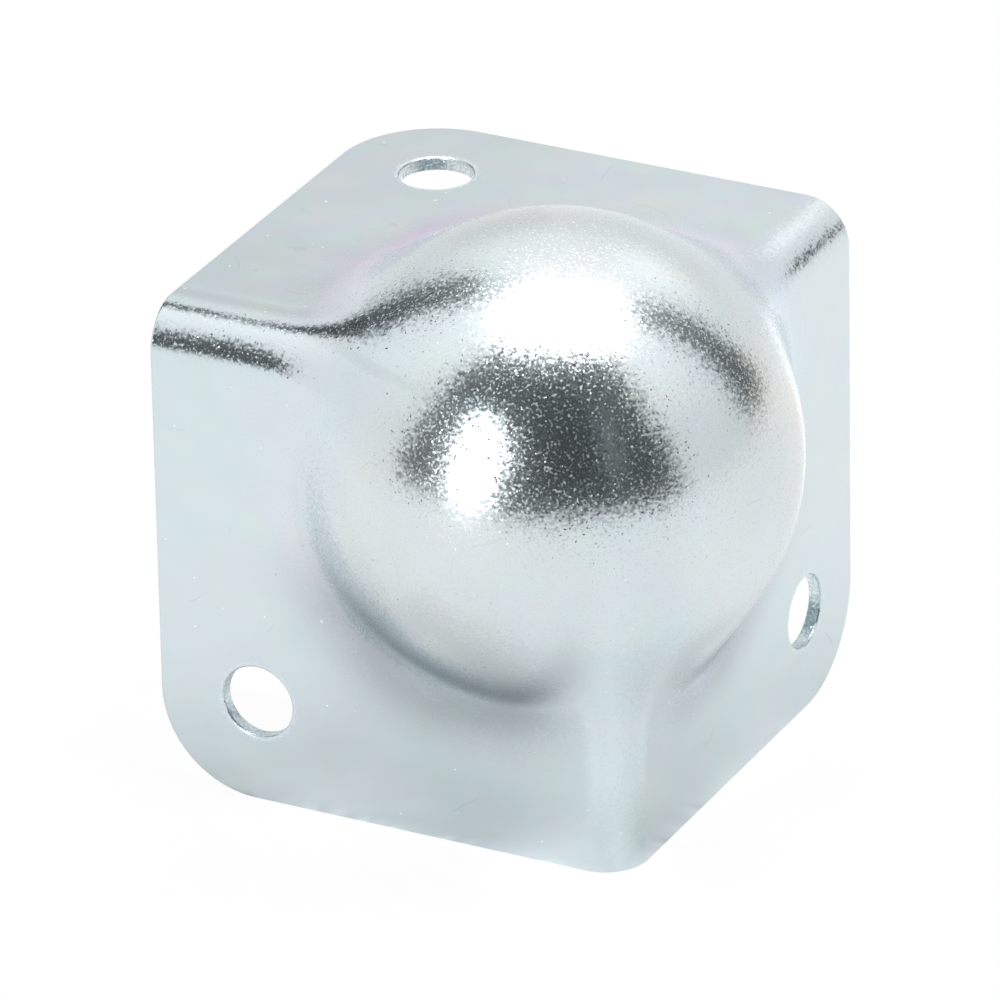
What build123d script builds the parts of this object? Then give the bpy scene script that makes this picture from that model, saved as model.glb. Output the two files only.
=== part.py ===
from build123d import *

import os

# Flight case corner: a ball corner pressed from one sheet of zinc-plated steel.
#
# Three flanges meet at right angles, and a hollow ball is drawn out of the point
# where they meet. The folds between the flanges are rounded, and they run into
# the ball through one concave fillet that is carried all the way round its foot.
# Each flange has a round fixing hole near its free corner, and that corner is
# rounded in plan. The wall is one sheet of even thickness, with no seam. It was
# blanked and pierced from outside, so the outside edges are slightly rolled over
# and the inside edges are left square.
#
# Frame (millimetres): the origin is the corner of the case that the part covers,
# which is where the inside faces of the three flanges would meet. The case lies
# at x <= 0, y >= 0, z <= 0. +Z is up, out of the top flange; +X is out of the
# right flange; -Y is out of the front flange. Free-standing, the part rests on
# the lower edges of the front and right flanges, at z = -LEG.

# ---------------------------------------------------------------- dimensions
SHEET = 1.0          # thickness of the sheet
LEG = 35.0           # inside face of one flange to the free edge of the next
BEND_R = 3.3         # outside radius of the three folds
CORNER_R = 7.25      # rounded free corner of each flange, in plan
BALL_R = 17.1        # outside radius of the ball
BALL_IN = 9.1        # ball centre, inwards from each inside face
FOOT_R = 8.0         # concave fillet round the foot of the ball, outside face
HOLE_D = 5.3         # fixing hole in each flange
HOLE_IN = 27.4       # hole centre, from the inside faces of the other two
ROLL_R = 0.2         # rollover along the outside edges of the blank and holes
FAR = 80.0           # size of the construction blocks
CLEAR = 12.0         # room between the trimming block and the ball


def touches(edge, point):
    """Whether an edge starts or ends at a point."""
    return min((edge @ 0 - point).length, (edge @ 1 - point).length) < 1e-6


def corner_block(face, bend):
    """The space x <= face, y >= -face, z <= face, with its three folds rounded."""
    block = Pos(face - FAR / 2, FAR / 2 - face, face - FAR / 2) * Box(FAR, FAR, FAR)
    tip = Vector(face, -face, face)
    return fillet([e for e in block.edges() if touches(e, tip)], bend)


def skin(face, bend, ball, foot):
    """The space behind one side of the sheet: the folds, the ball and its foot."""
    middle = Vector(-BALL_IN, BALL_IN, -BALL_IN)
    body = corner_block(face, bend) + Pos(*middle) * Sphere(ball)
    around_foot = [
        e for e in body.edges()
        if all(abs((e @ s - middle).length - ball) < 1e-4 for s in (0, 0.25, 0.5, 0.75, 1))
    ]
    return fillet(around_foot, foot)


def is_sharp(edge, body):
    """Whether the two faces of a body that share an edge meet at an angle there."""
    point = edge @ 0.5
    ways = [f.normal_at(point) for f in body.faces() if any(edge.is_same(g) for g in f.edges())]
    return len(ways) == 2 and ways[0].get_angle(ways[1]) > 30


def main():
    # everything behind the outside face, cut to the outline of the blank
    size = LEG + CLEAR
    far_corner = Vector(-LEG, LEG, -LEG)
    trim = Pos(size / 2 - LEG, LEG - size / 2, size / 2 - LEG) * Box(size, size, size)
    trim = fillet([e for e in trim.edges() if touches(e, far_corner)], CORNER_R)
    body = skin(SHEET, BEND_R, BALL_R, FOOT_R) & trim

    # a fixing hole in each flange, deep enough to clear the sheet
    punch = Cylinder(HOLE_D / 2, 6 * SHEET)
    body = body - Pos(-HOLE_IN, HOLE_IN, 0) * punch
    body = body - Pos(-HOLE_IN, 0, -HOLE_IN) * Rot(90, 0, 0) * punch
    body = body - Pos(0, HOLE_IN, -HOLE_IN) * Rot(0, 90, 0) * punch

    # rollover, on every sharp edge that lies on the outside face
    low = -4 * SHEET / 2
    rims = [e for e in body.edges() if is_sharp(e, body)]
    rims = [e for e in rims if max((e @ 0.5).X, -(e @ 0.5).Y, (e @ 0.5).Z) > low]
    body = fillet(rims, ROLL_R)

    # take out everything behind the inside face, and the sheet is left
    sheet = body - skin(0.0, BEND_R - SHEET, BALL_R - SHEET, FOOT_R + SHEET)

    print("valid", sheet.is_valid, "solids", len(sheet.solids()), "faces", len(sheet.faces()),
          "volume", round(sheet.volume, 2))
    os.makedirs("parts", exist_ok=True)
    export_step(sheet, "parts/ball_corner.step")


main()
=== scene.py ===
import math

import bpy
import numpy as np
from mathutils import Matrix, Vector
from mathutils.geometry import delaunay_2d_cdt


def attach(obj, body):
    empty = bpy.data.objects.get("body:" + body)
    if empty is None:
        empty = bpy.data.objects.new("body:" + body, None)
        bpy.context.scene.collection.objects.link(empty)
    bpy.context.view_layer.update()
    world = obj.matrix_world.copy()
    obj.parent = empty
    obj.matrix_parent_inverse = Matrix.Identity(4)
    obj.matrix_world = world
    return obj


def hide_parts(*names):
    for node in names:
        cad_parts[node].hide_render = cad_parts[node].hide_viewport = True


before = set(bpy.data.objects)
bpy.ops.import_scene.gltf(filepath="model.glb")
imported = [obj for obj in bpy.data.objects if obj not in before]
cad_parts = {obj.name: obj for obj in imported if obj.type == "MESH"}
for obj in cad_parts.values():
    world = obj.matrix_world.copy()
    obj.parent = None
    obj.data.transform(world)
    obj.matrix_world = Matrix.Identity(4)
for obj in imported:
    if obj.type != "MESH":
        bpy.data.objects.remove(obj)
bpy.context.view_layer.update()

# Flight case corner, pressed from one zinc-plated sheet. The visible skin is made here as one closed mesh of
# the same shape as the solid it stands for, fine enough to carry a clean reflection, with its cut edges.
# Lengths in this part of the script are millimetres; the mesh is scaled to metres when it is made.

# ---------------------------------------------------------------- sizes, as in the solid
SHEET = 1.0
LEG = 35.0
BEND_R = 3.3
CORNER_R = 7.25
BALL_R = 17.1
BALL_IN = 9.1
HOLE_R = 2.65
HOLE_IN = 27.4
ROLL_R = 0.2
BURR_R = 0.05

REACH = BALL_IN + SHEET                 # ball centre to each outside face
AXIS = REACH - BEND_R                   # ball centre to each fold's axis
EDGE = -(LEG - BALL_IN)                 # free edges, measured from the ball centre
STEP = math.radians(1.15)               # spacing of the mesh, seen from the ball centre

# Everything is first made about the ball centre, in q, whose three axes all point outwards:
# q = (x + BALL_IN, BALL_IN - y, z + BALL_IN).


def to_row(q):
    return np.stack([q[:, 0] - BALL_IN, BALL_IN - q[:, 1], q[:, 2] - BALL_IN], 1)


def block_distance(q):
    """Distance to the outside face as it would be without the ball, and its direction."""
    m = q - AXIS
    over = np.maximum(m, 0.0)
    length = np.linalg.norm(over, axis=1)
    flat = length < 1e-12
    top = np.argmax(m, axis=1)
    way = np.where(flat[:, None], np.eye(3)[top], over / np.maximum(length, 1e-12)[:, None])
    return np.where(flat, m.max(1), length) - BEND_R, way


# ---------------------------------------------------------------- the foot of the ball
# The drawn sheet has no step in curvature, so the fillet round the foot of the ball is a smooth union of the ball
# with the folded corner, K millimetres wide: wider where it runs into the folds than in the middle of a flange.
K_FLANGE, K_FOLD, K_POWER = 5.3, 5.8, 2.0
CAP_LO, CAP_HI = 30.0, 62.0              # none of it nearer the ball's outermost point than this, in degrees
UP = np.ones(3) / math.sqrt(3)
SIDE_A = np.array([2.0, -1.0, -1.0]) / math.sqrt(6)
SIDE_B = np.array([0.0, 1.0, -1.0]) / math.sqrt(2)


def outside(q):
    """Distance from the outside face, roughly; 0 on it."""
    turn = np.arctan2(q @ SIDE_B, q @ SIDE_A)
    near_fold = (0.5 - 0.5 * np.cos(3 * turn)) ** K_POWER
    from_tip = np.degrees(np.arccos(np.clip(q @ UP / np.linalg.norm(q, axis=1), -1, 1)))
    t = np.clip((from_tip - CAP_LO) / (CAP_HI - CAP_LO), 0, 1)
    k = (K_FLANGE + (K_FOLD - K_FLANGE) * near_fold) * t * t * (3 - 2 * t) + 0.3
    ball = np.linalg.norm(q, axis=1) - BALL_R
    sheet = block_distance(q)[0]
    h = np.maximum(k - np.abs(ball - sheet), 0) / k
    return np.minimum(ball, sheet) - h ** 3 * k / 6


def skin(u):
    """The outside face along unit directions u from the ball centre: points, normals, and how far they belong to
    the ball (1) or to the folded sheet (0)."""
    low, high = np.full(len(u), 8.0), np.full(len(u), 90.0)
    for _ in range(44):
        mid = (low + high) / 2
        out = outside(mid[:, None] * u) > 0
        low, high = np.where(out, low, mid), np.where(out, mid, high)
    p = ((low + high) / 2)[:, None] * u
    step = 1e-3
    n = np.stack([outside(p + step * e) - outside(p - step * e) for e in np.eye(3)], 1)
    n /= np.linalg.norm(n, axis=1)[:, None]
    ball, sheet = np.linalg.norm(p, axis=1) - BALL_R, block_distance(p)[0]
    part = np.clip((sheet - ball) / 4 + 0.5, 0, 1)
    return p, n, part * part * (3 - 2 * part)


# ---------------------------------------------------------------- one flange's share of the skin
def sector(hole):
    """The third of the skin nearest one flange, as a triangulation seen from the ball centre.

    hole is the hole's centre in the flange's own two axes. Returns directions, triangles, and the outline
    and the hole's edge as ordered lists of vertex numbers with the outward direction at each."""
    inset = EDGE + ROLL_R
    mid = EDGE + CORNER_R
    r = CORNER_R - ROLL_R
    line, out = [], []
    for k in range(9):
        w = math.radians(45 - 5 * k)
        line.append((inset, AXIS + BEND_R * math.sin(w), AXIS + BEND_R * math.cos(w)))
        out.append((-1, 0, 0))
    count = int((AXIS - mid) / 0.7)
    for k in range(count):
        line.append((inset, AXIS + (mid - AXIS) * k / count, REACH))
        out.append((-1, 0, 0))
    for k in range(25):
        w = math.pi + math.pi / 2 * k / 24
        line.append((mid + r * math.cos(w), mid + r * math.sin(w), REACH))
        out.append((math.cos(w), math.sin(w), 0))
    for k in range(1, count + 1):
        line.append((mid + (AXIS - mid) * k / count, inset, REACH))
        out.append((0, -1, 0))
    for k in range(1, 10):
        w = math.radians(5 * k)
        line.append((AXIS + BEND_R * math.sin(w), inset, AXIS + BEND_R * math.cos(w)))
        out.append((0, -1, 0))
    line, out = np.array(line), np.array(out, float)

    lines = np.arange(-75, 46) * STEP
    lines = lines + (math.radians(45) - lines[-1])
    start, end = line[0], line[-1]
    a0 = math.atan2(start[0], start[2])
    edge_ab = [(math.atan2(q[0], q[2]), math.atan2(q[1], q[2])) for q in line]
    along = [v for v in lines if v > a0 + 0.4 * STEP]          # up to and including 45 degrees
    right_side = [(math.radians(45), v) for v in along]         # from the outline's end to the tip
    left_side = [(v, math.radians(45)) for v in along[:-1]][::-1]
    ring = edge_ab + right_side + left_side
    holes = 80
    w = np.arange(holes) * 2 * np.pi / holes
    hole_q = np.stack([hole[0] + (HOLE_R + ROLL_R) * np.cos(w), hole[1] + (HOLE_R + ROLL_R) * np.sin(w)], 1)
    hole_ab = [(math.atan2(x, REACH), math.atan2(y, REACH)) for x, y in hole_q]
    hole_out = np.stack([-np.cos(w), -np.sin(w), 0 * w], 1)

    ring_a, hole_a = np.array(ring), np.array(hole_ab)
    ga, gb = np.meshgrid(lines[:-1], lines[:-1], indexing="ij")
    grid = np.stack([ga.ravel(), gb.ravel()], 1)
    keep = inside(grid, ring_a) & ~inside(grid, hole_a)
    grid = grid[keep]
    away = np.minimum(distance(grid, ring_a), distance(grid, hole_a)) > 0.42 * STEP
    grid = grid[away]

    verts = np.vstack([ring_a, hole_a, grid])
    nr, nh = len(ring_a), len(hole_a)
    edges = [(k, (k + 1) % nr) for k in range(nr)] + [(nr + k, nr + (k + 1) % nh) for k in range(nh)]
    got = delaunay_2d_cdt([Vector(v) for v in verts], edges, [], 0, 1e-9, False)
    flat = np.array([tuple(v) for v in got[0]])
    if len(flat) != len(verts) or np.abs(flat - verts).max() > 1e-6:
        raise RuntimeError("the triangulation moved its points")
    tris = np.array([tuple(f) for f in got[2] if len(f) == 3])
    middle = verts[tris].mean(1)
    tris = tris[inside(middle, ring_a) & ~inside(middle, hole_a)]
    u = np.column_stack([np.tan(verts), np.ones(len(verts))])
    u /= np.linalg.norm(u, axis=1)[:, None]
    return u, tris, np.arange(len(edge_ab)), out, nr + np.arange(nh), hole_out


def inside(points, ring):
    """Which points a closed polygon holds."""
    held = np.zeros(len(points), bool)
    x, y = points[:, 0], points[:, 1]
    for (x0, y0), (x1, y1) in zip(ring, np.roll(ring, -1, axis=0)):
        crosses = (y0 > y) != (y1 > y)
        if y1 != y0:
            held ^= crosses & (x < (x1 - x0) * (y - y0) / (y1 - y0) + x0)
    return held


def distance(points, ring):
    """How far points lie from a closed polygon's edge."""
    best = np.full(len(points), np.inf)
    for p0, p1 in zip(ring, np.roll(ring, -1, axis=0)):
        d = p1 - p0
        t = np.clip(((points - p0) @ d) / max(float(d @ d), 1e-18), 0, 1)
        best = np.minimum(best, np.linalg.norm(points - p0 - t[:, None] * d, axis=1))
    return best


# ---------------------------------------------------------------- the whole shell
class Shell:
    """Vertices with their normals and the three values that the material reads, and faces."""

    def __init__(self):
        self.p, self.n, self.rim, self.drawn, self.back, self.faces = [], [], [], [], [], []
        self.count = 0

    def add(self, p, n, rim, drawn, back):
        k = np.arange(len(p)) + self.count
        self.count += len(p)
        for store, value in ((self.rim, rim), (self.drawn, drawn), (self.back, back)):
            store.append(np.broadcast_to(np.asarray(value, float), (len(p),)).copy())
        self.p.append(p)
        self.n.append(n)
        return k

    def strip(self, a, b, closed):
        ends = len(a) if closed else len(a) - 1
        for k in range(ends):
            j = (k + 1) % len(a)
            self.faces.append((a[k], a[j], b[j], b[k]))


def drawn_amount(n, part):
    """How far the sheet has been stretched: 0 on a flat flange, 1 on the ball, less on the folds."""
    tilt = np.degrees(np.arccos(np.clip(n.max(1), -1, 1)))
    t = np.clip(tilt / 16, 0, 1)
    t = t * t * (3 - 2 * t)
    return np.maximum(part, 0.8 * t)


def ramp(value, lo, hi):
    """0 at lo and 1 at hi, smooth between; lo may be above hi."""
    t = np.clip((value - lo) / (hi - lo), 0, 1)
    return t * t * (3 - 2 * t)


def hump(value, at, wide):
    return np.exp(-((value - at) / wide) ** 2)


def lobe(turn, at, wide):
    """1 at one bearing round the ball's axis, fading on both sides of it; degrees."""
    return hump((turn - at + 180) % 360 - 180, 0, wide)


def wander(q, size, seed):
    """A slow, even variation between about -1 and 1, with features of the given size in millimetres."""
    rng = np.random.default_rng(seed)
    total = 0
    for _ in range(7):
        way = rng.normal(size=3)
        way *= 2 * np.pi / (size * rng.uniform(0.7, 1.6)) / np.linalg.norm(way)
        total = total + np.sin(q @ way + rng.uniform(0, 2 * np.pi))
    return total / 2.6


def film_tint_and_painted_shade(q):
    """What the plating's passivate does to the colour of the metal, as a factor for red, green and blue, with painted
    shade and painted highlights added.

    It is thickest in the foot of the ball: lilac there, with a straw ring where the ball rises out of it. The band
    under the ball is darkened with painted shade, and one ridge of the foot is lightened with a painted highlight.
    rise_out is negative on the flanges and grows up the ball."""
    rise_out = block_distance(q)[0] - (np.linalg.norm(q, axis=1) - BALL_R)
    turn = np.degrees(np.arctan2(q @ SIDE_B, q @ SIDE_A)) % 360
    slow, slower = wander(q, 7.0, 3), wander(q, 15.0, 4)
    # the ball's outermost point is close to the faces' common corner too, but isn't in the foot
    foot = ramp(np.degrees(np.arccos(np.clip(q @ UP / np.linalg.norm(q, axis=1), -1, 1))), 26, 42)
    lilac = foot * hump(rise_out + 0.5 * slow, -0.7, 2.3) * (
        lobe(turn, 234, 42) + 0.85 * lobe(turn, 272, 20) + 0.35 * lobe(turn, 146, 20)) * (1 + 0.25 * slower)
    blue = foot * hump(rise_out + 0.4 * slow, -1.0, 1.9) * (
        lobe(turn, 28, 18) + 0.8 * lobe(turn, 318, 26) + 0.35 * lobe(turn, 100, 30) + 0.5 * lobe(turn, 240, 50))
    straw = foot * hump(rise_out + 0.35 * slow, 5.4, 1.25) * (
        0.55 * lobe(turn, 238, 15) + lobe(turn, 320, 36) + 0.35 * lobe(turn, 140, 30)) * (1 + 0.2 * slower)
    streak = foot * hump(rise_out + 0.2 * slow, -1.2 - 0.11 * np.clip(turn - 215, 0, 30), 1.3) * lobe(turn, 225, 17)
    cyan = ramp(rise_out, 6, 2) * (lobe(turn, 30, 50) + 0.6 * lobe(turn, 168, 18)) + hump(rise_out, -2.5, 2.6) * lobe(turn, 313, 13)
    cyan = foot * cyan
    warm = ramp(rise_out, 4, 9) * (0.6 * lobe(turn, 290, 80) + 0.2)
    cool = ramp(rise_out, 1, -5) * (0.8 * lobe(turn, 95, 50) + 0.3 * slow)
    tint = 1 + lilac[:, None] * [0.135, 0.0, 0.075] + blue[:, None] * [-0.01, 0.0, 0.075]
    tint = tint + straw[:, None] * [0.115, 0.015, -0.055] + warm[:, None] * [0.05, 0.0, -0.015]
    tint = tint + cool[:, None] * [-0.02, 0.0, 0.012] + cyan[:, None] * [-0.035, 0.0, 0.006]
    # painted highlight: a pale, slightly lilac line along one ridge of the foot of the ball
    ridge_highlight = foot * hump(rise_out, 0.9, 1.4) * lobe(turn, 209, 13)
    tint = tint + streak[:, None] * [0.03, -0.115, 0.03] + ridge_highlight[:, None] * [0.14, 0.09, 0.15]
    # cloudy everywhere: slow patches, a little bluer or warmer
    on_top = ramp(q[:, 2], REACH - 0.4, REACH - 0.2) * ramp(q[:, 2], REACH + 0.4, REACH + 0.2)
    for size, seed, amount in ((6.0, 11, 0.010), (2.6, 12, 0.009)):
        cloud = np.stack([wander(q, size, seed + k) for k in (0, 10, 20)], 1) * [1.0, 0.7, 0.9]
        tint = tint * (1 + amount * (1 + 1.2 * on_top)[:, None] * cloud)
    # painted shade: a dark band under the ball, either side of the fold at 60 degrees
    off_fold = np.abs((turn - 60 + 180) % 360 - 180)
    depth = 0.42 + 0.17 * ramp(turn, 60, 80) * ramp(turn, 240, 200)
    depth = foot * depth * ramp(off_fold, np.where(turn > 60, 5, 9), 22)
    depth = depth * (1 - 0.75 * ramp(off_fold, 40, 90)) * ramp(off_fold, 88, 60)
    left_side = ramp(turn, 60, 80) * ramp(turn, 240, 200) * ramp(off_fold, 76, 52)
    centre = 0.4 + ramp(off_fold, 20, 42) * (1.1 - 0.7 * ramp(off_fold, 58, 80)) + left_side * (1.0 - 0.3 * ramp(off_fold, 20, 42))
    under_ball_shade = np.maximum(hump(rise_out, centre, np.where(rise_out < centre, 1.2, 1.7 + 0.2 * left_side)), 0.45 * hump(rise_out, centre - 1.6, 2.3))
    tint = tint * (1 - (depth * under_ball_shade)[:, None] * [1.05, 1.0, 0.97])
    # painted shade: a wider, fainter darkening round the foot of the ball, and a slight one up the ball on one side
    wide = foot * 0.15 * hump(rise_out, -2.2, 2.4) * ramp(off_fold, 20, 36) * ramp(off_fold, 92, 64)
    wide = wide + 0.06 * ramp(rise_out, 4, 6.5) * lobe(turn, 350, 28)
    tint = tint * (1 - wide)[:, None]
    # the top flange is painted a little darker towards the front fold, and a faint crease beside it is painted as a
    # line of shade with a line of highlight next to it
    crease_shade_and_highlight = (0.05 * hump(q[:, 1], 6.3, 0.5) - 0.045 * hump(q[:, 1], 5.4, 0.4)) * ramp(q[:, 0], -13, -17)
    return tint * (1 - on_top * (0.08 * ramp(q[:, 1], -10, 5) * ramp(q[:, 0], 0, -9) + crease_shade_and_highlight))[:, None]


shell = Shell()
hole_at = BALL_IN - HOLE_IN
for turn in range(3):
    u, tris, outline, outline_out, rim_hole, hole_out = sector((hole_at, hole_at))
    p, n, part = skin(u)
    drawn = drawn_amount(n, part)
    roll = lambda v: np.roll(v, turn, axis=1)
    p, n = roll(p), roll(n)
    front = shell.add(p, n, 0, drawn, 0)
    behind = shell.add(p - SHEET * n, -n, 0, drawn, 1)
    for t in tris:
        shell.faces.append(tuple(front[t]))
        shell.faces.append(tuple(behind[t][::-1]))
    # cut edges: rolled over outside, square with a slight burr inside
    for ids, out, closed in ((outline, roll(outline_out), False), (rim_hole, roll(hole_out), True)):
        pe = p[ids] + ROLL_R * out
        ne = n[ids]
        rows = [front[ids]]
        for deg in (22.5, 45, 67.5, 90):
            w = math.radians(deg)
            away = math.cos(w) * ne + math.sin(w) * out
            rows.append(shell.add(pe - ROLL_R * out - ROLL_R * ne + ROLL_R * away, away, deg / 90, drawn[ids], 0))
        for depth in (0.45, 0.7, SHEET - BURR_R):
            rows.append(shell.add(pe - depth * ne, out, 1, drawn[ids], 0))
        for deg in (45, 90):
            w = math.radians(deg)
            away = math.cos(w) * out - math.sin(w) * ne
            rows.append(shell.add(pe - (SHEET - BURR_R) * ne - BURR_R * out + BURR_R * away, away, 1 - deg / 90, drawn[ids], 1))
        rows.append(behind[ids])
        for a, b in zip(rows, rows[1:]):
            shell.strip(a, b, closed)

p = np.vstack(shell.p)
n = np.vstack(shell.n)
rim, drawn, back = (np.concatenate(v) for v in (shell.rim, shell.drawn, shell.back))
keys = np.round(p * 1000 + 0.1234567).astype(np.int64)
_, first, which = np.unique(keys, axis=0, return_index=True, return_inverse=True)
which = which.ravel()
p, n, rim, drawn, back = (v[first] for v in (p, n, rim, drawn, back))
# the colour factors hold the passivate's tints and also painted shade and painted highlights round the foot of the
# ball
film_and_painted_shade = film_tint_and_painted_shade(p)
p, n = to_row(p), n * np.array([1, -1, 1])
faces = []
for f in shell.faces:
    g = [int(which[k]) for k in f]
    g = [v for k, v in enumerate(g) if v != g[k - 1]]
    if len(g) > 2:
        faces.append(g)

mesh = bpy.data.meshes.new("corner_shell")
mesh.from_pydata((p / 1000).tolist(), [], faces)
mesh.update()

import bmesh
bm = bmesh.new()
bm.from_mesh(mesh)
bmesh.ops.recalc_face_normals(bm, faces=bm.faces)
if bm.calc_volume(signed=True) < 0:
    bmesh.ops.reverse_faces(bm, faces=bm.faces)
print("shell: open edges", sum(not e.is_manifold for e in bm.edges), "faces", len(bm.faces),
      "volume mm3", bm.calc_volume(signed=True) * 1e9)
bm.to_mesh(mesh)
bm.free()
mesh.shade_smooth()
for name, value in (("rim", rim), ("drawn", drawn), ("back", back)):
    mesh.attributes.new(name, "FLOAT", "POINT").data.foreach_set("value", value.astype(np.float32))
# this colour attribute carries painted shade and painted highlights as well as the passivate's tints
mesh.attributes.new("film_and_painted_shade", "FLOAT_COLOR", "POINT").data.foreach_set(
    "color", np.column_stack([film_and_painted_shade, np.ones(len(film_and_painted_shade))]).astype(np.float32).ravel())
mesh.normals_split_custom_set_from_vertices(n.tolist())
corner = bpy.data.objects.new("corner_shell", mesh)
bpy.context.scene.collection.objects.link(corner)

# ---------------------------------------------------------------- material
class Nodes:
    """Short names for making a node tree."""

    def __init__(self, tree):
        self.tree = tree

    def add(self, kind, **fields):
        node = self.tree.nodes.new(kind)
        for name, value in fields.items():
            setattr(node, name, value)
        return node

    def put(self, socket, value):
        if isinstance(value, bpy.types.NodeSocket):
            self.tree.links.new(value, socket)
        elif value is not None:
            socket.default_value = value

    def maths(self, op, a, b=None, c=None, clamp=False):
        node = self.add("ShaderNodeMath", operation=op, use_clamp=clamp)
        for socket, value in zip(node.inputs, (a, b, c)):
            self.put(socket, value)
        return node.outputs[0]

    def times(self, a, b):
        return self.maths("MULTIPLY", a, b)

    def plus(self, a, b):
        return self.maths("ADD", a, b)

    def vec(self, op, a, b=None, scale=None):
        node = self.add("ShaderNodeVectorMath", operation=op)
        self.put(node.inputs[0], a)
        if b is not None:
            self.put(node.inputs[1], b)
        if scale is not None:
            self.put(node.inputs["Scale"], scale)
        return node.outputs["Value"] if op in ("DOT_PRODUCT", "LENGTH", "DISTANCE") else node.outputs["Vector"]

    def ramp(self, value, lo, hi):
        """0 at lo and 1 at hi, smooth between; lo may be above hi."""
        node = self.add("ShaderNodeMapRange", interpolation_type="SMOOTHSTEP")
        self.put(node.inputs["Value"], value)
        ends = (lo, hi, 0, 1) if lo <= hi else (hi, lo, 1, 0)
        for name, end in zip(("From Min", "From Max", "To Min", "To Max"), ends):
            node.inputs[name].default_value = end
        return node.outputs["Result"]

    def band(self, value, lo, hi, soft):
        return self.times(self.ramp(value, lo - soft, lo + soft), self.ramp(value, hi + soft, hi - soft))

    def span(self, value, lo, hi):
        """Straight line from lo (at 0) to hi (at 1)."""
        return self.plus(self.times(value, hi - lo), lo)

    def noise(self, place, scale, detail=0.0, rough=0.5):
        node = self.add("ShaderNodeTexNoise", noise_dimensions="3D")
        self.put(node.inputs["Vector"], place)
        node.inputs["Scale"].default_value = scale
        node.inputs["Detail"].default_value = detail
        node.inputs["Roughness"].default_value = rough
        return node

    def attr(self, name):
        return self.add("ShaderNodeAttribute", attribute_type="GEOMETRY", attribute_name=name).outputs["Fac"]

    def blend(self, fac, a, b):
        node = self.add("ShaderNodeMix", data_type="RGBA")
        self.put(node.inputs["Factor"], fac)
        self.put(node.inputs["A"], a)
        self.put(node.inputs["B"], b)
        return node.outputs["Result"]


mat = bpy.data.materials.new("zinc_plated_steel")
mat.use_nodes = True
shader = mat.node_tree.nodes["Principled BSDF"]
m = Nodes(mat.node_tree)
place = m.add("ShaderNodeTexCoord").outputs["Object"]
drawn_a = m.attr("drawn")
rim_a = m.attr("rim")

FINE_F, PEEL_F, RARE_F, GRIT_F = 5800, 2700, 5200, 5500
FINE_A, PEEL_A, RARE_A, STEEP_P = 0.08, 0.12, 1.9, 2.0
ROUGH_LO, ROUGH_HI = 0.222, 0.64
# grain of the stretched sheet: fine crystals on a coarser orange peel, with here and there a steep one
half = (0.5, 0.5, 0.5)
fine = m.vec("SUBTRACT", m.noise(place, FINE_F).outputs["Color"], half)
peel = m.vec("SUBTRACT", m.noise(m.vec("MULTIPLY", place, (1.0, 1.0, 1.6)), PEEL_F).outputs["Color"], half)
rare = m.noise(m.vec("ADD", place, (0.31, 0.17, 0.23)), RARE_F)
steep = m.maths("POWER", m.ramp(rare.outputs["Fac"], 0.50, 0.95), STEEP_P)
grit = m.noise(m.vec("ADD", place, (0.13, 0.29, 0.37)), GRIT_F)
gritty = m.maths("POWER", m.ramp(grit.outputs["Fac"], 0.41, 0.96), 2.0)
fold_a = m.times(m.ramp(drawn_a, 0.45, 0.75), m.ramp(drawn_a, 0.98, 0.84))
tilt = m.vec("ADD", m.vec("SCALE", peel, scale=PEEL_A), m.vec("SCALE", fine, scale=m.span(steep, FINE_A, RARE_A)))
tilt = m.vec("SCALE", tilt, scale=m.maths("INVERSE_SQRT", m.plus(m.times(m.vec("DOT_PRODUCT", tilt, tilt), 4.0), 1.0)))
normal = m.add("ShaderNodeNewGeometry").outputs["Normal"]
# round each hole the punch has left a rough, slightly paler lip; the cut walls are torn and mottled
from_axis = m.vec("SUBTRACT", m.vec("ABSOLUTE", place), (HOLE_IN / 1000,) * 3)
parts = m.add("ShaderNodeSeparateXYZ")
m.put(parts.inputs[0], m.vec("MULTIPLY", from_axis, from_axis))
ax, ay, az = parts.outputs
nearest = m.maths("MINIMUM", m.plus(ax, ay), m.maths("MINIMUM", m.plus(ay, az), m.plus(ax, az)))
beyond = m.maths("SUBTRACT", m.maths("SQRT", nearest), HOLE_R / 1000)
lip = m.ramp(m.plus(beyond, m.times(m.maths("SUBTRACT", rare.outputs["Fac"], 0.5), 0.0007)), 0.00040, 0.00018)
lip = m.times(lip, m.maths("SUBTRACT", 1.0, rim_a))
grain = m.plus(m.span(drawn_a, 0.18, 1.0), m.plus(m.times(lip, 1.0), m.times(rim_a, 1.8)))
normal = m.vec("NORMALIZE", m.vec("ADD", normal, m.vec("SCALE", tilt, scale=grain)))
m.put(shader.inputs["Normal"], normal)

# base colour: the passivate's tints, with painted shade under the ball and painted highlights, on the zinc's own
# colour
film_and_shade_colour = m.add("ShaderNodeAttribute", attribute_type="GEOMETRY", attribute_name="film_and_painted_shade").outputs["Color"]
colour = m.vec("MULTIPLY", film_and_shade_colour, (0.67, 0.74, 0.765))


def spots(cell, chance, lo, hi, at):
    """1 in small scattered spots lo to hi across (in cells), one in a share of the cells, 0 elsewhere."""
    node = m.add("ShaderNodeTexVoronoi", voronoi_dimensions="3D", feature="F1")
    m.put(node.inputs["Vector"], m.vec("ADD", place, at))
    node.inputs["Scale"].default_value = cell
    split = m.add("ShaderNodeSeparateColor")
    m.put(split.inputs[0], node.outputs["Color"])
    chosen = m.maths("LESS_THAN", split.outputs[0], chance)
    size = m.span(split.outputs[1], lo, hi)
    near = m.maths("SUBTRACT", 1.0, m.maths("DIVIDE", node.outputs["Distance"], size), clamp=True)
    return m.times(chosen, m.maths("MULTIPLY", near, 2.5, clamp=True))


flat_a = m.ramp(drawn_a, 0.9, 0.2)
white_spot = m.times(spots(900, 0.24, 0.07, 0.15, (0.4, 0.1, 0.2)), m.span(flat_a, 0.25, 1.0))
dark_spot = spots(700, 0.05, 0.04, 0.10, (0.2, 0.5, 0.3))
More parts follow.
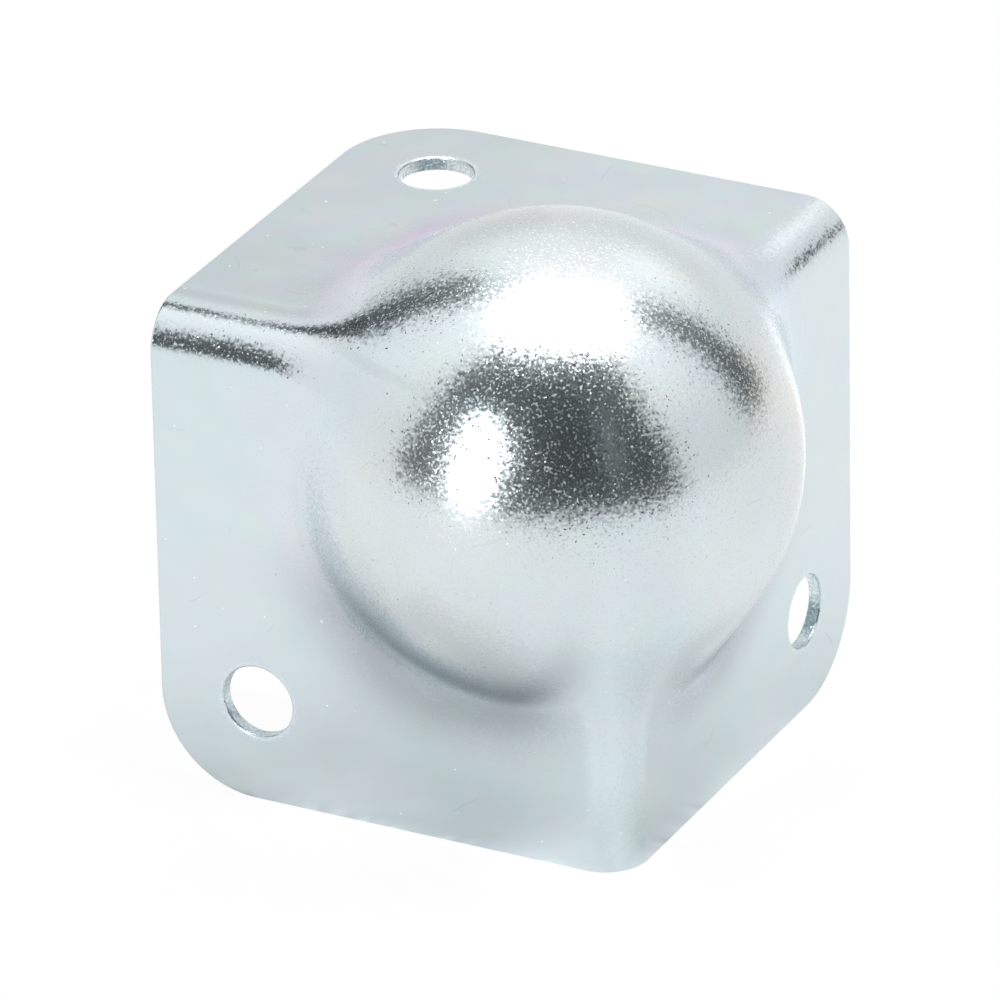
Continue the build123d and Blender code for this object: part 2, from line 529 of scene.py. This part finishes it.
# hairlines, in short pieces
line = m.maths("ABSOLUTE", m.maths("SUBTRACT", m.noise(place, 150).outputs["Fac"], 0.5))
hair = m.times(m.ramp(line, 0.0055, 0.001), m.ramp(m.noise(place, 260).outputs["Fac"], 0.62, 0.70))
colour = m.vec("SCALE", colour, scale=m.plus(1.0, m.times(white_spot, 0.32)))
colour = m.vec("SCALE", colour, scale=m.maths("SUBTRACT", 1.0, m.plus(m.times(dark_spot, 0.30), m.times(hair, 0.07))))
torn = m.times(rim_a, m.span(m.ramp(rare.outputs["Fac"], 0.35, 0.65), 0.24, 0.0))
colour = m.vec("SCALE", colour, scale=m.maths("SUBTRACT", m.plus(1.0, m.times(lip, 0.09)), torn))
m.put(shader.inputs["Base Color"], colour)
shader.inputs["Metallic"].default_value = 1
rough = m.span(gritty, ROUGH_LO, ROUGH_HI)
rough = m.plus(m.times(m.maths("SUBTRACT", 1.0, drawn_a), 0.27), m.times(drawn_a, rough))
rough = m.maths("SUBTRACT", rough, m.times(fold_a, 0.045))
m.put(shader.inputs["Roughness"], m.plus(rough, m.plus(m.times(lip, 0.12), m.times(rim_a, 0.06))))
mesh.materials.append(mat)

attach(corner, "root")
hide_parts("ball_corner")

# ---------------------------------------------------------------- camera
AZ, EL, ROLL = math.radians(27.2535), math.radians(26.2007), math.radians(-1.1133)
back_v = Vector((math.sin(AZ) * math.cos(EL), -math.cos(AZ) * math.cos(EL), math.sin(EL)))
side_v = Vector((math.cos(AZ), math.sin(AZ), 0))
up_v = back_v.cross(side_v)
right_v = side_v * math.cos(ROLL) + up_v * math.sin(ROLL)
top_v = up_v * math.cos(ROLL) - side_v * math.sin(ROLL)
leg = (LEG + SHEET) / 1000
tip = Vector((SHEET, -SHEET, SHEET)) / 1000
aim = tip + leg * (Vector((-0.4, 0.4, -0.4)) - 0.0554 * right_v - 0.0494 * top_v)
cam = bpy.data.cameras.new("camera")
cam.sensor_width = 36
cam.lens = 11039.09 * 36 / 1000
camera = bpy.data.objects.new("camera", cam)
camera.matrix_world = Matrix((
    (right_v.x, top_v.x, back_v.x, 0), (right_v.y, top_v.y, back_v.y, 0), (right_v.z, top_v.z, back_v.z, 0), (0, 0, 0, 1)))
camera.location = aim + 21.1706 * leg * back_v
bpy.context.scene.collection.objects.link(camera)
bpy.context.scene.camera = camera

# ---------------------------------------------------------------- light
# A small white room close round the object: a soft box overhead, another at the left, a dark end where the camera
# stands, and a dark gap on each side of the backdrop. It is a sphere, lit by a value on each of its vertices.
# Angles are in degrees as seen from the ball's centre; azimuth 0 is towards the camera, positive to its right.
ROOM_R = 0.150
BRIGHT = 8.5
to_camera = np.array([math.sin(AZ), -math.cos(AZ), 0])
to_right = np.array([math.cos(AZ), math.sin(AZ), 0])
ball_at = np.array([-BALL_IN, BALL_IN, -BALL_IN]) / 1000
middle = ball_at + 0.045 * to_right - 0.020 * to_camera
FLOOR_Z = -LEG / 1000


def band(value, lo, hi, soft):
    return ramp(value, lo - soft, lo + soft) * ramp(value, hi + soft, hi - soft)


def rounded(x, y, cx, cy, hx, hy, power):
    """1 on the edge of a rounded rectangle about (cx, cy), less inside it."""
    return (np.abs((x - cx) / hx) ** power + np.abs((y - cy) / hy) ** power) ** (1 / power)


def room_light(d):
    """How bright the room is along directions d from the ball's centre."""
    d = d / np.linalg.norm(d, axis=1)[:, None]
    azimuth = np.degrees(np.arctan2(d @ to_right, d @ to_camera))
    rise = np.degrees(np.arcsin(np.clip(d[:, 2], -1, 1)))
    zen_x = (90 - rise) * np.sin(np.radians(azimuth))
    zen_y = -(90 - rise) * np.cos(np.radians(azimuth))          # positive behind the object
    level = 0.97 + 0.19 * ramp(rise, 15, 55)
    level = level - 0.10 * band(azimuth, 60, 100, 12) * ramp(rise, 38, 14)
    level = level - ramp(rise, 38, 27) * (0.12 * ramp(azimuth, -150, -166) + 0.04 * ramp(azimuth, 128, 145))
    level = level - 0.07 * ramp(np.abs(azimuth), 122, 150) * ramp(rise, 5, 20) * ramp(rise, 76, 60)
    level = level + 0.25 * band(azimuth, 132, 156, 7) * band(rise, 28, 48, 6)
    level = level + (1.04 - level) * ramp(rise, 0, -5)
    overhead = rounded(zen_x, zen_y, 1.9, -1.6, 20.4, 13.8, 4.0)
    left_end = -71.5 + 3.5 * ramp(rise, 8, 35) + 7 * ramp(rise, 44, 58)
    right_end = 55.5 - 5.5 * ramp(rise, 8, 40)
    low_end = rise + 1.5 * ramp(azimuth, 28, 50) - 3 * ramp(azimuth, -42, -52)
    room = ramp(azimuth - left_end, -2.5, 2.5) * ramp(azimuth - right_end, 2.5, -2.5) * ramp(rise, 79, 72) * ramp(low_end, -2.5, 1.0)
    gap_right = band(azimuth, 100, 118 + 2.5 * ramp(rise, 20, 13), 2.5) * ramp(rise, 62, 55) * ramp(rise, 2, 5.5)
    slant = azimuth + 0.35 * np.maximum(30 - rise, 0)
    gap_left = band(slant, -140, -119, 3) * ramp(rise, 62, 55) * ramp(rise, -5, -1)
    bridge = band(zen_y + 0.012 * zen_x ** 2, 15, 25, 3) * band(zen_x, -24, 20, 5) * (0.30 + 0.40 * ramp(zen_x, -6, -16))
    dark = np.max([room, bridge, gap_right, gap_left], axis=0)
    gloom = 0.048 + 0.22 * band(azimuth, 22, 31, 3.5) * band(rise, 14, 44, 8)
    level = level + (gloom - level) * dark
    soft = rounded(azimuth, rise, -36.9, 18.8, 8.4, 15.9, 2.2)
    return level + BRIGHT * (ramp(overhead, 1.10, 0.88) + ramp(soft, 1.38, 0.62))


def glowing(name, verts, faces, glow, kind="glow"):
    """A mesh that shines by a value on each of its vertices."""
    me = bpy.data.meshes.new(name)
    me.from_pydata(verts.tolist(), [], faces)
    me.update()
    me.shade_smooth()
    me.attributes.new("glow", "FLOAT", "POINT").data.foreach_set("value", glow.astype(np.float32))
    ob = bpy.data.objects.new(name, me)
    bpy.context.scene.collection.objects.link(ob)
    me.materials.append(bpy.data.materials.get(kind) or glow_material(kind))
    return ob


def glow_material(kind):
    made = bpy.data.materials.new(kind)
    made.use_nodes = True
    made.node_tree.nodes.clear()
    g = Nodes(made.node_tree)
    shine = g.add("ShaderNodeEmission")
    level = g.attr("glow")
    g.put(shine.inputs["Strength"], level)
    g.put(shine.inputs["Color"], g.blend(g.ramp(level, 0.0, 0.6), (0.86, 1.0, 1.02, 1), (1, 1, 1, 1)))
    g.put(g.add("ShaderNodeOutputMaterial").inputs["Surface"], shine.outputs[0])
    if kind == "glow":
        made.cycles.emission_sampling = "NONE"
    return made


def grid_faces(rows, cols):
    """Quads of a grid whose columns close on themselves."""
    return [(r * cols + c, r * cols + (c + 1) % cols, (r + 1) * cols + (c + 1) % cols, (r + 1) * cols + c)
            for r in range(rows - 1) for c in range(cols)]


lat = np.radians(np.linspace(-89.9, 89.9, 181))
lon = np.radians(np.arange(0, 360, 1.0))
la, lo = (v.ravel() for v in np.meshgrid(lat, lon, indexing="ij"))
ball_dir = np.stack([np.cos(la) * np.cos(lo), np.cos(la) * np.sin(lo), np.sin(la)], 1)


def on_wall(way, inset=0.0):
    """Where directions from the ball's centre meet the room's wall."""
    off = middle - ball_at
    along = way @ off
    reach = along + np.sqrt(along ** 2 + ROOM_R ** 2 - off @ off) - inset
    return ball_at + reach[:, None] * way


studio = glowing("studio", on_wall(ball_dir), grid_faces(len(lat), len(lon)), room_light(ball_dir))
studio.visible_camera = False

# The two soft boxes again, as small bright panels just inside the wall.
n_side = 13
gx, gy = (v.ravel() for v in np.meshgrid(np.linspace(-1, 1, n_side), np.linspace(-1, 1, n_side), indexing="ij"))
panel_faces = [(i * n_side + j, (i + 1) * n_side + j, (i + 1) * n_side + j + 1, i * n_side + j + 1)
               for i in range(n_side - 1) for j in range(n_side - 1)]
zx, zy = 1.9 + 22.6 * gx, -1.6 + 15.3 * gy
for name, azimuth, rise in (("overhead_box", np.degrees(np.arctan2(zx, -zy)), 90 - np.hypot(zx, zy)),
                            ("left_box", -36.9 + 11.7 * gx, 18.8 + 22.0 * gy)):
    a, r = np.radians(azimuth), np.radians(rise)
    way = (np.cos(r) * np.cos(a))[:, None] * to_camera + (np.cos(r) * np.sin(a))[:, None] * to_right + np.sin(r)[:, None] * [0, 0, 1]
    panel = glowing(name, on_wall(way, 0.0005), panel_faces, room_light(way), "glow_box")
    panel.visible_camera = False

# The floor seen in the metal stands for matt paper; it glows, with its shadow painted into the glow. What each point
# of it sends back is worked out here: rays go up from it to the room, and those that meet the object see a dimmer room
# in its metal.
drop = middle[2] - FLOOR_Z
floor_reach = math.sqrt(ROOM_R ** 2 - drop ** 2) - 0.0004
ring = np.concatenate([np.arange(0.5, 60, 1.6), np.arange(62, 1000 * floor_reach, 5)]) / 1000
ring = np.append(ring, floor_reach)
spoke = np.radians(np.arange(0, 360, 3))
hub = np.array([-0.014, 0.014])
rr, ss = (v.ravel() for v in np.meshgrid(ring, spoke, indexing="ij"))
flat_dir = np.stack([np.cos(ss), np.sin(ss)], 1)
off = middle[:2] - hub
along = flat_dir @ off
limit = along + np.sqrt(along ** 2 + floor_reach ** 2 - off @ off)
floor_xy = hub + (rr / ring[-1] * limit)[:, None] * flat_dir
floor_v = np.column_stack([floor_xy, np.full(len(floor_xy), FLOOR_Z)])

from mathutils.bvhtree import BVHTree
metal = BVHTree.FromPolygons([Vector(v) for v in (p / 1000)], faces)
count = 220
k = np.arange(count) + 0.5
tilt_k = np.sqrt(k / count)
turn_k = k * math.pi * (3 - math.sqrt(5))
rays = np.stack([tilt_k * np.cos(turn_k), tilt_k * np.sin(turn_k), np.sqrt(1 - tilt_k ** 2)], 1)
box_lo, box_hi = (p / 1000).min(0), (p / 1000).max(0)


def leave(start, way):
    """Brightness of the room where rays leave it."""
    rel = start - middle
    along = (rel * way).sum(1)
    reach = -along + np.sqrt(np.maximum(along ** 2 + ROOM_R ** 2 - (rel * rel).sum(1), 0))
    return room_light(start + reach[:, None] * way - ball_at)


start = np.repeat(floor_v + [0, 0, 2e-5], count, axis=0)
way = np.tile(rays, (len(floor_v), 1))
seen = leave(start, way)
bare = seen.reshape(len(floor_v), count).mean(1)
with np.errstate(divide="ignore", invalid="ignore"):
    t0, t1 = (box_lo - start) / way, (box_hi - start) / way
maybe = np.nonzero(np.minimum(t0, t1).max(1) <= np.maximum(t0, t1).min(1))[0]
first_hit, first_way = [], []
for i in maybe:
    spot, face_n, _, _ = metal.ray_cast(Vector(start[i]), Vector(way[i]), 0.3)
    if spot is not None:
        v = Vector(way[i])
        v = v - 2 * v.dot(face_n) * face_n
        first_hit.append((i, *(spot + 1e-5 * v)))
        first_way.append(tuple(v))
if first_hit:
    first_hit, first_way = np.array(first_hit), np.array(first_way)
    index = first_hit[:, 0].astype(int)
    again = 0.72 * leave(first_hit[:, 1:], first_way)
    again = np.where(first_way[:, 2] < 0, 0.5, again)
    seen[index] = again
shade = np.clip(seen.reshape(len(floor_v), count).mean(1) / bare, 0, 1)
bearing = np.degrees(np.arctan2(floor_xy[:, 1] - hub[1], floor_xy[:, 0] - hub[0]))
# painted shadow: the worked-out shade, made deeper or fainter by bearing round the object, with a painted dim patch at
# one bearing
floor_glow_painted = shade ** (1.05 - 0.50 * ramp(bearing, -82, -60) - 0.13 * ramp(bearing, -40, 0))
floor_glow_painted = floor_glow_painted * (1.045 + 0.01 * ramp(bearing, -60, 10) - 0.05 * band(bearing, -36, -14, 7))
# painted light and shade on the floor: the foot of each wall is painted bright, and a little farther out the floor is
# painted dimmer
fx, fy = floor_xy.T * 1000
before, beside = np.maximum(-1 - fy, 0), np.maximum(fx - 1, 0)
out = np.hypot(before, beside)
round_x, round_y = ramp(fx, -6, 1), ramp(fy, -1, 5)
lift = (1 - round_x) * 0.48 * ramp(out, 8.5, 0) * ramp(fx, -33, -18)
lift = lift + round_x * ((1 - round_y) * 0.26 * ramp(out, 6.5, 0.5) + round_y * 0.12 * ramp(out, 3.6, 0.5) * ramp(fy, 32, 10))
dip = 0.07 * hump(before, 8.6, 3.2) * ramp(fx, -9, -16)
dip = dip + 0.145 * hump(fx, -22, 10) * hump(before, 14.5, 5.5) + 0.08 * hump(fx, -28, 8) * hump(before, 20, 7)
dip = dip * (before > 0) * (beside == 0)
dip = dip + (beside > 0) * (0.08 * hump(beside, 8, 2.5) * hump(fy, 17, 4.5) + 0.085 * hump(beside, 6.2, 2.8) * band(fy, 12, 38, 5) + 0.09 * hump(beside, 1.6, 2.2) * hump(fy, 32, 5))
floor_glow_painted = floor_glow_painted * (1 + lift - dip)
floor_mirror = glowing("floor_mirror", floor_v, grid_faces(len(ring), len(spoke)), floor_glow_painted)
floor_mirror.visible_camera = False
# the floor the camera sees glows evenly white, but for a faint painted contact shadow
floor = glowing("floor", floor_v - [0, 0, 1e-4], grid_faces(len(ring), len(spoke)), 1.0 - 0.03 * ramp(floor_glow_painted, 1.0, 0.4))
floor.visible_glossy = floor.visible_diffuse = floor.visible_transmission = floor.visible_shadow = False

world = bpy.data.worlds.new("white")
bpy.context.scene.world = world
world.use_nodes = True
world.node_tree.nodes["Background"].inputs["Color"].default_value = (1, 1, 1, 1)
world.node_tree.nodes["Background"].inputs["Strength"].default_value = 1.0
bpy.context.scene.view_settings.view_transform = "Standard"
